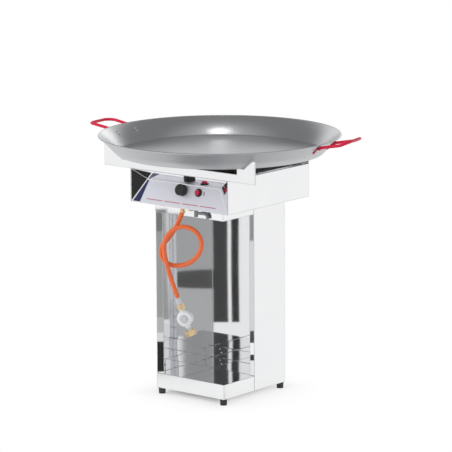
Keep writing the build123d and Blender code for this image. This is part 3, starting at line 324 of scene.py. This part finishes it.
def makeHandle(look, node, turn):
    # wire carried along the loop; its section goes from a flat foot to a round and back to a flat foot
    path, share, swing = handlePath(look, node)
    outward = np.column_stack([
        np.full(len(path), math.sin(wallSlope) * math.cos(swing)),
        math.sin(wallSlope) * math.sin(swing) * np.sign(path[:, 1]),
        np.full(len(path), -math.cos(wallSlope)),
    ])
    lean = outward * np.maximum(share, look["leanLeast"]) + np.array([0.0, 0.0, -1.0]) * (1 - share)
    tangent = unit(np.gradient(path, axis=0))
    normal = unit(lean - tangent * np.sum(lean * tangent, axis=1, keepdims=True))
    across = np.cross(tangent, normal)
    width = look["flat"][0] * share + look["wire"] * (1 - share)
    thick = look["flat"][1] * share + look["wire"] * (1 - share)
    steps, narrowest = look["endSteps"]
    fromEnd = np.minimum(np.arange(len(path)), np.arange(len(path))[::-1])[:, None]
    endRound = np.sqrt(1 - (1 - np.clip(fromEnd / steps, narrowest, 1)) ** 2)  # rounded end of each foot
    angle = np.linspace(0.0, 2 * math.pi, look["around"], endpoint=False)
    power = 1.0 - look["square"] * share
    cosine = np.sign(np.cos(angle)) * np.abs(np.cos(angle)) ** power
    sine = np.sign(np.sin(angle)) * np.abs(np.sin(angle)) ** power
    grid = (path[:, None, :] + across[:, None, :] * (width * endRound * cosine)[:, :, None]
            + normal[:, None, :] * (thick * sine)[:, :, None])
    poles = path[[0, -1]]
    spin = np.array(Matrix.Rotation(math.radians(turn), 3, "Z"))
    name = "redHandle" + node.rsplit("_", 1)[1].capitalize()
    return surfaceMesh(name, grid @ spin.T, poles @ spin.T, "pan", [node])


handles = [makeHandle(handleLook, node, turn) for node, turn in handleLook["turns"].items()]
print("handles made")


class Signal:
    # one output socket of a shader tree; arithmetic on it adds Math nodes
    def __init__(self, tree, socket):
        self.tree = tree
        self.socket = socket

    def node(self, kind, settings=None, inputs=None, output=0):
        # any node: its type, the settings, then the values or links of its sockets
        made = self.tree.nodes.new(kind)
        for key, value in (settings or {}).items():
            setattr(made, key, value)
        for key, value in (inputs or {}).items():
            if isinstance(value, Signal):
                self.tree.links.new(value.socket, made.inputs[key])
            else:
                made.inputs[key].default_value = value
        return Signal(self.tree, made.outputs[output])

    def math(self, operation, first, second=0.0):
        return self.node("ShaderNodeMath", {"operation": operation}, {0: first, 1: second})

    def __add__(self, other):
        return self.math("ADD", self, other)

    def __radd__(self, other):
        return self.math("ADD", other, self)

    def __sub__(self, other):
        return self.math("SUBTRACT", self, other)

    def __rsub__(self, other):
        return self.math("SUBTRACT", other, self)

    def __mul__(self, other):
        return self.math("MULTIPLY", self, other)

    def __rmul__(self, other):
        return self.math("MULTIPLY", other, self)

    def __abs__(self):
        return self.math("ABSOLUTE", self)

    def step(self, low, high):
        # smooth rise from 0 at low to 1 at high
        return self.node("ShaderNodeMapRange", {"interpolation_type": "SMOOTHSTEP"},
                         {"Value": self, "From Min": low, "From Max": high})

    def within(self, centre, half, edge):
        # 1 inside centre plus or minus half, with a soft edge
        return 1.0 - abs(self - centre).step(half, half + edge)

    def part(self, axis):
        # x, y or z of a vector
        return self.node("ShaderNodeSeparateXYZ", None, {0: self}, axis)

    def stretch(self, scale):
        # vector times a scale for each axis
        return self.node("ShaderNodeVectorMath", {"operation": "MULTIPLY"}, {0: self, 1: scale})

    def length(self):
        return self.node("ShaderNodeVectorMath", {"operation": "LENGTH"}, {0: self}, "Value")

    def dot(self, other):
        return self.node("ShaderNodeVectorMath", {"operation": "DOT_PRODUCT"}, {0: self, 1: other}, "Value")

    def noise(self, scale, detail=2.0):
        return self.node("ShaderNodeTexNoise", None, {"Vector": self, "Scale": scale, "Detail": detail})

    def blend(self, first, second):
        # colour mix by this signal; sockets 6 and 7 are the node's two colours, output 2 its colour
        return self.node("ShaderNodeMix", {"data_type": "RGBA"}, {0: self, 6: first, 7: second}, 2)

    def bump(self, strength, distance, over=None):
        # relief by this signal, on the surface's own normal or over another one
        inputs = {"Strength": strength, "Distance": distance, "Height": self}
        if over:
            inputs["Normal"] = over
        return self.node("ShaderNodeBump", None, inputs)


def shade(value):
    # a written colour (0-255 per channel, as seen on screen) as linear light
    seen = np.array(value) / 255.0
    return (*np.where(seen <= 0.04045, seen / 12.92, ((seen + 0.055) / 1.055) ** 2.4), 1.0)


def shades(tones):
    # several written colours as linear light
    return [shade(tone) for tone in tones]


def firstNode(tree, kind):
    # the tree's first node of that kind
    return next(node for node in tree.nodes if node.type == kind)


def newFinish(name, constants):
    # a material, its shader with the constants set, and the object's own coordinates as a signal
    material = bpy.data.materials.new(name)
    material.use_nodes = True
    tree = material.node_tree
    shader = firstNode(tree, "BSDF_PRINCIPLED")
    for key, value in constants.items():
        shader.inputs[key].default_value = value
    place = Signal(tree, tree.nodes.new("ShaderNodeTexCoord").outputs["Object"])
    return material, shader, place


def feed(shader, inputs):
    # links each signal to the shader's socket of that name
    for key, value in inputs.items():
        value.tree.links.new(value.socket, shader.inputs[key])


steelLook = {
    "tones": ((238, 239, 240), (244, 244, 245)),
    "mirror": 0.022,  # roughness inside the column and in the recess
    "satin": 0.17,  # roughness added on the outside
    "haze": (9.0, 4.0),  # scale and detail
    "hazeDull": 0.02,
    "grain": (24.0, 3.0),
    "grainStretch": (40.0, 40.0, 4.0),
    "grainDull": 0.06,
    "wave": (2.6, 1.0),
    "waveRelief": (0.10, 0.003),
    # inside of the column: middle, half and soft edge along X and along Y, then its bottom
    "inside": ((0.0, 0.1426, 0.0002), (-0.0160, 0.1460, 0.0002), (0.0690, 0.0694)),
    "foldRadius": 0.0025,  # softened folds and sheet edges
    "foldSamples": 6,
    "foldTurn": (0.01, 0.20),  # one minus the cosine of the turn at which a fold starts and is full
    # colour of the painted shade along folds and sheet edges
    "foldShadeTone": (128, 130, 132),
    "foldDull": 0.1,
}


def polishedSteel(name, look, outside):
    # sheet: mirror inside the column, a light satin outside, slow waviness, faint haze, and painted shade
    # that darkens the folds and sheet edges
    material, shader, place = newFinish(name, {"Metallic": 1.0})
    haze = place.noise(*look["haze"])
    gloss = look["mirror"] + haze * look["hazeDull"]
    if outside:
        grain = place.stretch(look["grainStretch"]).noise(*look["grain"])
        width, depth, bottom = look["inside"]
        within = place.part(0).within(*width) * place.part(1).within(*depth) * place.part(2).step(*bottom)
        gloss = gloss + (1.0 - within) * (look["satin"] + grain * look["grainDull"])
    rounded = place.node("ShaderNodeBevel", {"samples": look["foldSamples"]}, {"Radius": look["foldRadius"]})
    flat = place.node("ShaderNodeNewGeometry", output="True Normal")
    # painted shade: folds and sheet edges get a darker base colour, and are duller
    fold = (1.0 - rounded.dot(flat)).step(*look["foldTurn"])
    feed(shader, {
        "Base Color": fold.blend(haze.blend(*shades(look["tones"])), shade(look["foldShadeTone"])),
        "Roughness": gloss + fold * look["foldDull"],
        "Normal": place.noise(*look["wave"]).bump(*look["waveRelief"], rounded),
    })
    return material


panFinish = {
    "tones": ((198, 199, 201), (208, 209, 211)),
    "floor": 0.25,  # roughness of the floor, the inner wall and the outside
    "wall": 0.20,
    "outside": 0.40,
    "wallFrom": (0.335, 0.342),
    "outsideFrom": (0.0008, 0.0016),  # into the sheet from the wall's outside
    "rings": 900.0,
    "ringDull": 0.03,
    "ringRelief": (0.06, 0.0003),
    "smudge": (5.0, 3.0),
    "smudgeDull": 0.06,
}


def panSteel(look):
    # satin pan: fine turning marks about the axis, duller floor than wall, soft smudges, dull outside
    material, shader, place = newFinish("panSteel", {"Metallic": 1.0})
    radius = place.stretch((1.0, 1.0, 0.0)).length()
    ring = radius.node("ShaderNodeCombineXYZ", None, {0: radius * look["rings"]}).noise(1.0)
    smudge = place.noise(*look["smudge"])
    wall = radius.step(*look["wallFrom"])
    wallHeight = (radius - panLook["base"]) * math.tan(wallSlope)  # of the wall's outside over the floor's
    above = place.part(2) - wallHeight
    outer = 1.0 - above.step(*(panLow + depth for depth in look["outsideFrom"]))
    gloss = look["floor"] + wall * (look["wall"] - look["floor"]) + outer * (look["outside"] - look["wall"])
    feed(shader, {
        "Base Color": smudge.blend(*shades(look["tones"])),
        "Roughness": gloss + smudge * look["smudgeDull"] + ring * look["ringDull"],
        "Normal": ring.bump(*look["ringRelief"]),
    })
    return material


labelLook = {
    "ground": ((203, 204, 214), (222, 223, 231)),
    "blue": (36, 42, 86),
    "red": (182, 54, 76),
    "ink": (60, 60, 66),
    "bandLow": (-0.197, -0.166),  # left and right edge at the bottom, then how far each moves to the top
    "bandMove": (0.045, 0.022),
    "bandEdge": (0.0, 0.0008),
    "line": (-0.140, 0.160),  # start and end along X
    "lineEdge": 0.001,
    "lineClimb": (0.17, 0.011, 0.010),  # share of the overlay's height: middle, half width, soft edge
    "dash": 0.075,
    "dashInk": (0.88, 0.90),  # inked share of each dash, and where its end has faded out
    "tick": ((0.023, 0.0014, 0.0005), (0.0, 0.0050, 0.0008)),  # from the igniter: middle, half, soft edge
    "speck": (1400.0, 1.0),
    "cloud": (6.0, 1.0),
    "speckShare": 0.4,
    "gloss": 0.40,
    "speckDull": 0.12,
    "relief": (0.1, 0.0001),
}


def labelPrint(look):
    # overlay print by place: slanted dark band along the left fold, dashed red line, tick by the igniter
    material, shader, place = newFinish("labelPrint", {"Specular IOR Level": 0.3})
    x, z = place.part(0), place.part(2)
    low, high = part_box("control_label")
    climb = (z - low.z) * (1.0 / (high.z - low.z))
    left, right = (climb * move + start for start, move in zip(look["bandLow"], look["bandMove"]))
    band = (x - left).step(*look["bandEdge"]) * (right - x).step(*look["bandEdge"])
    start, end = look["line"]
    along = (x - start) * (1.0 / look["dash"])
    dash = 1.0 - along.math("FRACT", along).step(*look["dashInk"])
    line = climb.within(*look["lineClimb"]) * dash
    line = line * x.within((start + end) / 2, (end - start) / 2, look["lineEdge"])
    button = [sum(pair) / 2 for pair in zip(*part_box("igniter_bezel"))]
    (aside, wide, wideEdge), (above, tall, tallEdge) = look["tick"]
    tick = x.within(button[0] + aside, wide, wideEdge) * z.within(button[2] + above, tall, tallEdge)
    speck, cloud = place.noise(*look["speck"]), place.noise(*look["cloud"])
    ground = (speck * look["speckShare"] + cloud * (1 - look["speckShare"])).blend(*shades(look["ground"]))
    printed = band.blend(ground, shade(look["blue"]))
    printed = line.blend(printed, shade(look["red"]))
    printed = tick.blend(printed, shade(look["ink"]))
    feed(shader, {
        "Base Color": printed,
        "Roughness": look["gloss"] + speck * look["speckDull"],
        "Normal": speck.bump(*look["relief"]),
    })
    return material


metal = {"Metallic": 1.0}
lacquer = {"Coat Weight": 0.15, "Coat Roughness": 0.08, "Specular IOR Level": 0.3}
# slot: name, dark and light tone, roughness and its spread, scale of the mottle, depth of the relief,
# and what is the same all over the surface
mottledLook = {
    "handle_red": ("redLacquer", (200, 8, 54), (220, 16, 68), 0.30, 0.12, 60.0, 0.0002, lacquer),
    "fixings": ("platedSteel", (194, 194, 196), (218, 218, 220), 0.20, 0.18, 120.0, 0.0001, metal),
    "brass": ("turnedBrass", (228, 198, 148), (242, 218, 174), 0.20, 0.16, 90.0, 0.00003, metal),
    "black_plastic": ("blackPlastic", (24, 24, 26), (36, 36, 38), 0.32, 0.14, 200.0, 0.0001, {}),
    "red_plastic": ("redPlastic", (190, 8, 62), (206, 16, 74), 0.22, 0.12, 200.0, 0.0001, {}),
    "ceramic": ("glazedCeramic", (226, 222, 212), (238, 235, 228), 0.16, 0.10, 90.0, 0.0001, {}),
    "lead_sheath": ("leadSheath", (40, 40, 42), (58, 58, 60), 0.48, 0.14, 150.0, 0.0002, {}),
    "copper": ("copperTube", (180, 112, 80), (206, 138, 102), 0.24, 0.18, 90.0, 0.0001, metal),
    "cast_iron": ("castIron", (46, 46, 48), (66, 65, 64), 0.62, 0.18, 160.0, 0.0006, {"Metallic": 0.4}),
    "pipe_grey": ("greyPipe", (120, 122, 126), (150, 152, 156), 0.34, 0.16, 90.0, 0.0002, {"Metallic": 0.6}),
    "hose_rubber": ("orangeRubber", (228, 98, 46), (242, 120, 66), 0.40, 0.16, 110.0, 0.0002, {}),
    "die_cast": ("dieCast", (224, 225, 227), (240, 241, 242), 0.34, 0.16, 160.0, 0.0003, {"Metallic": 0.2}),
    "grey_plastic": ("greyPlastic", (186, 187, 193), (204, 205, 211), 0.36, 0.14, 180.0, 0.0002, {}),
    "foot_rubber": ("footRubber", (44, 44, 46), (62, 62, 64), 0.58, 0.18, 140.0, 0.0003, {}),
}
mottleLook = {
    "detail": 3.0,
    "grain": 9.0,  # times finer than the mottle
    "grainDetail": 2.0,
    "relief": 0.3,
}


def mottled(name, dark, light, gloss, spread, scale, depth, constants):
    # two close tones in a soft mottle, gloss that follows it, and a fine grain in the surface
    material, shader, place = newFinish(name, constants)
    mottle = place.noise(scale, mottleLook["detail"])
    grain = place.noise(scale * mottleLook["grain"], mottleLook["grainDetail"])
    feed(shader, {
        "Base Color": mottle.blend(shade(dark), shade(light)),
        "Roughness": gloss + mottle * spread,
        "Normal": (grain + mottle).bump(mottleLook["relief"], depth),
    })
    return material


finishes = {slot: mottled(*look) for slot, look in mottledLook.items()}
finishes["polished_steel"] = polishedSteel("polishedSteel", steelLook, True)
finishes["pan_steel"] = panSteel(panFinish)
finishes["label"] = labelPrint(labelLook)
for entry in frame["record"]["subparts"]:
    materials = nodes[entry["node"]].data.materials
    materials.clear()
    materials.append(finishes[entry["material_slot"]])
nodes["front_fascia"].data.materials[0] = polishedSteel("mirrorSheet", steelLook, False)
hose.data.materials.append(finishes["hose_rubber"])
pan.data.materials.append(finishes["pan_steel"])
for piece in handles:
    piece.data.materials.append(finishes["handle_red"])
print("finishes made:", len(finishes) + 1)

# floor, lamps, and cards that only metal mirrors; a heading is in degrees from +X, with away along it
stageLook = {
    "floorRadius": 9.0,
    "floorTones": ((252, 252, 252), (248, 248, 248)),
    "floorMottle": 3.0,
    "floorDull": 0.9,
    "shadowNear": (-0.12, 0.09),  # metres out from the base over which the dark shadow gives way to white
    "shadowBase": (0.1435, 0.161),  # half width and half depth of that base
    "shadowShift": -0.03,  # of that base along X
    "shadowWide": (0.17, 0.36),  # metres from the axis, for the faint shadow round it
    "shadowShares": (0.97, 0.13),  # how much of each shadow shows
    "worldLight": 0.78,
    "ceiling": (0.26, 0.50),  # tones that metal mirrors half way up and overhead; white at the horizon
    "ceilingFrom": ((0.20, 0.50), (0.80, 0.97)),
    "lampAim": (0.0, 0.0, 0.6),
    # place, size, power, whether metal mirrors it
    "lamps": {
        "softBox": ((0.18, -0.22, 3.6), 0.4, 3.0, True),
        "sideBox": ((-2.3, -2.7, 2.6), 2.4, 52.0, False),
    },
    # centre, two half edges, tone
    "flag": ((0.44, -3.0, 0.20), (0.32, 0.2, 0.0), (0.0, 0.0, 0.20), 0.035),
    "backCard": ((-0.97, 3.88, 1.3), (0.60, 0.15, 0.0), (0.0, 0.0, 0.85), 1.5),
    "viewHeading": -50.7,
    "stands": ((-0.0535, 0.053, 0.07), (-0.107, 0.028, 0.04)),  # across the view, width, tone
    "standAway": 0.60,
    "standHeight": (0.01, 0.91),
    "screen": ((-0.028, 0.12), (0.25, 2.4), 3.0, 0.36),  # upright: across, height, away, tone
    # floor papers: heading, across from and to, away from and to, tone
    "papers": (
        (-50.7, (-0.028, 2.2), (0.20, 1.57), 0.48),
        (-50.7, (-0.028, 2.2), (1.57, 7.0), 0.42),
        (-130.6, (-0.030, 0.045), (0.50, 0.955), 0.03),
        (-130.6, (-0.030, 0.045), (0.955, 1.1), 0.75),
        (-130.6, (-0.030, 0.045), (1.1, 1.35), 0.50),
        (-130.6, (-0.030, 0.045), (1.35, 3.0), 0.36),
        (-130.6, (-0.030, 0.045), (3.0, 3.5), 0.20),
        (-130.6, (0.045, 0.095), (0.5, 3.4), 0.42),
        (-128.9, (0.096, 0.130), (0.41, 0.50), 0.05),
        (-128.9, (0.096, 0.130), (0.68, 0.87), 0.08),
        (-128.9, (0.096, 0.130), (0.87, 2.56), 0.72),
        (-128.9, (0.096, 0.130), (2.56, 3.23), 0.26),
    ),
    "paperLift": 0.003,
    "spotPlace": (1.385, -0.028, 0.006),  # dark half-round over the paper: away, across, up
    "spotHalf": (0.185, 0.25),
    "spotPoints": 40,
    "spotTone": 0.10,
}


def flatFace(name, corners):
    # one flat face from its corners in order
    mesh = bpy.data.meshes.new(name)
    mesh.from_pydata(corners.tolist(), [], [tuple(range(len(corners)))])
    sheet = bpy.data.objects.new(name, mesh)
    scene.collection.objects.link(sheet)
    return sheet


def flatSheet(name, centre, across, up):
    # one quad from its centre and two half-edge vectors
    centre, across, up = (np.array(value, dtype=float) for value in (centre, across, up))
    corners = [centre - across - up, centre + across - up, centre + across + up, centre - across + up]
    return flatFace(name, np.stack(corners))


def seenRays(tree):
    # 1 for camera, mirror and glass rays, 0 for light that falls on things
    path = tree.nodes.new("ShaderNodeLightPath")
    keys = ("Is Camera Ray", "Is Glossy Ray", "Is Transmission Ray")
    camera, glossy, glass = (Signal(tree, path.outputs[key]) for key in keys)
    total = camera + glossy + glass
    return total.math("MINIMUM", total, 1.0)


def makeFloor(look):
    # white paper: keeps the shadow near the object and is plain white further out
    radius = look["floorRadius"]
    floor = flatSheet("floor", (0, 0, 0), (radius, 0, 0), (0, radius, 0))
    matt = {"Roughness": look["floorDull"], "Specular IOR Level": 0.0}
    material, shader, place = newFinish("floorPaper", matt)
    tree = material.node_tree
    feed(shader, {"Base Color": place.noise(look["floorMottle"]).blend(*shades(look["floorTones"]))})
    x = abs(place.part(0) - look["shadowShift"]) - look["shadowBase"][0]
    y = abs(place.part(1)) - look["shadowBase"][1]
    near = 1.0 - x.math("MAXIMUM", x, y).step(*look["shadowNear"])
    wide = 1.0 - place.length().step(*look["shadowWide"])
    dark, faint = look["shadowShares"]
    share = seenRays(tree) * (1.0 - near * dark - wide * (1.0 - near) * faint)
    glow = place.node("ShaderNodeEmission", None, {"Color": (1, 1, 1, 1), "Strength": 1.0})
    lit = Signal(tree, shader.outputs[0])
    mixed = place.node("ShaderNodeMixShader", None, {0: share, 1: lit, 2: glow})
    tree.links.new(mixed.socket, firstNode(tree, "OUTPUT_MATERIAL").inputs["Surface"])
    floor.data.materials.append(material)
    return floor


def heading(degrees):
    # unit vectors ahead and across on the floor
    turn = math.radians(degrees)
    return np.array([math.cos(turn), math.sin(turn), 0.0]), np.array([-math.sin(turn), math.cos(turn), 0.0])


def middleAndHalf(span):
    # centre and half length of a span
    return (span[0] + span[1]) / 2, (span[1] - span[0]) / 2


def cardShapes(look):
    # each card as its sheet and its tone: flag, stands, back card, screen, floor papers, half-round
    upward = np.array([0.0, 0.0, 1.0])
    *place, tone = look["flag"]
    yield flatSheet("flag", *place), tone
    ahead, across = heading(look["viewHeading"])
    height, halfHeight = middleAndHalf(look["standHeight"])
    for aside, width, tone in look["stands"]:
        centre = ahead * look["standAway"] + across * aside + upward * height
        yield flatSheet("stand", centre, across * width / 2, upward * halfHeight), tone
    *place, tone = look["backCard"]
    yield flatSheet("backCard", *place), tone
    asideSpan, heightSpan, away, tone = look["screen"]
    (aside, halfWidth), (height, halfHeight) = middleAndHalf(asideSpan), middleAndHalf(heightSpan)
    centre = ahead * away + across * aside + upward * height
    yield flatSheet("screen", centre, across * halfWidth, upward * halfHeight), tone
    for turn, asideSpan, awaySpan, tone in look["papers"]:
        along, over = heading(turn)
        (aside, halfWidth), (away, halfLength) = middleAndHalf(asideSpan), middleAndHalf(awaySpan)
        centre = along * away + over * aside + upward * look["paperLift"]
        yield flatSheet("paper", centre, over * halfWidth, along * halfLength), tone
    away, aside, lift = look["spotPlace"]
    angle = np.linspace(-math.pi / 2, math.pi / 2, look["spotPoints"])[:, None]
    centre = ahead * away + across * aside + upward * lift
    halfLength, halfWidth = look["spotHalf"]
    spot = centre + ahead * halfLength * np.sin(angle) + across * halfWidth * np.cos(angle)
    yield flatFace("spot", spot), look["spotTone"]


def makeCards(look):
    # even tones that only mirror rays see
    cards = []
    for card, tone in cardShapes(look):
        material = bpy.data.materials.new("studioTone")
        material.use_nodes = True
        tree = material.node_tree
        inputs = {"Color": (tone, tone, tone, 1), "Strength": 1.0}
        glow = Signal(tree, None).node("ShaderNodeEmission", None, inputs)
        tree.links.new(glow.socket, firstNode(tree, "OUTPUT_MATERIAL").inputs["Surface"])
        card.data.materials.append(material)
        card.visible_camera = False
        card.visible_diffuse = False
        card.visible_shadow = False
        card.visible_transmission = False
        cards.append(card)
    return cards


def makeLamp(name, aim, place, size, power, mirrored):
    # square soft box aimed at the object's axis; metal mirrors it or not
    lamp = bpy.data.lights.new(name, "AREA")
    lamp.shape = "SQUARE"
    lamp.size = size
    lamp.energy = power
    piece = bpy.data.objects.new(name, lamp)
    scene.collection.objects.link(piece)
    piece.visible_glossy = mirrored
    toward = Vector(aim) - Vector(place)
    piece.matrix_world = Matrix.Translation(place) @ toward.to_track_quat("-Z", "Y").to_matrix().to_4x4()
    return piece


def makeWorld(look):
    # even light; what camera and metal see is white, going to a grey ceiling overhead
    world = bpy.data.worlds.new("studio")
    scene.world = world
    world.use_nodes = True
    tree = world.node_tree
    light = firstNode(tree, "BACKGROUND")
    light.inputs["Strength"].default_value = look["worldLight"]
    light.inputs["Color"].default_value = (1, 1, 1, 1)
    toward = Signal(tree, tree.nodes.new("ShaderNodeTexCoord").outputs["Generated"])
    (dim, top), (first, second) = look["ceiling"], look["ceilingFrom"]
    height = toward.part(2)
    level = 1.0 - height.step(*first) * (1.0 - dim) + height.step(*second) * (top - dim)
    tone = toward.node("ShaderNodeCombineColor", None, {0: level, 1: level, 2: level})
    seen = toward.node("ShaderNodeBackground", None, {"Color": tone, "Strength": 1.0})
    cast = Signal(tree, light.outputs[0])
    mixed = toward.node("ShaderNodeMixShader", None, {0: seenRays(tree), 1: cast, 2: seen})
    tree.links.new(mixed.socket, firstNode(tree, "OUTPUT_WORLD").inputs["Surface"])


makeFloor(stageLook)
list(makeCards(stageLook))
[makeLamp(name, stageLook["lampAim"], *lamp) for name, lamp in stageLook["lamps"].items()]
makeWorld(stageLook)
scene.view_settings.view_transform = "Standard"
scene.cycles.glossy_bounces = 12  # the column's inner walls mirror one another
scene.cycles.max_bounces = 16
print("stage made")

bpy.context.view_layer.update()
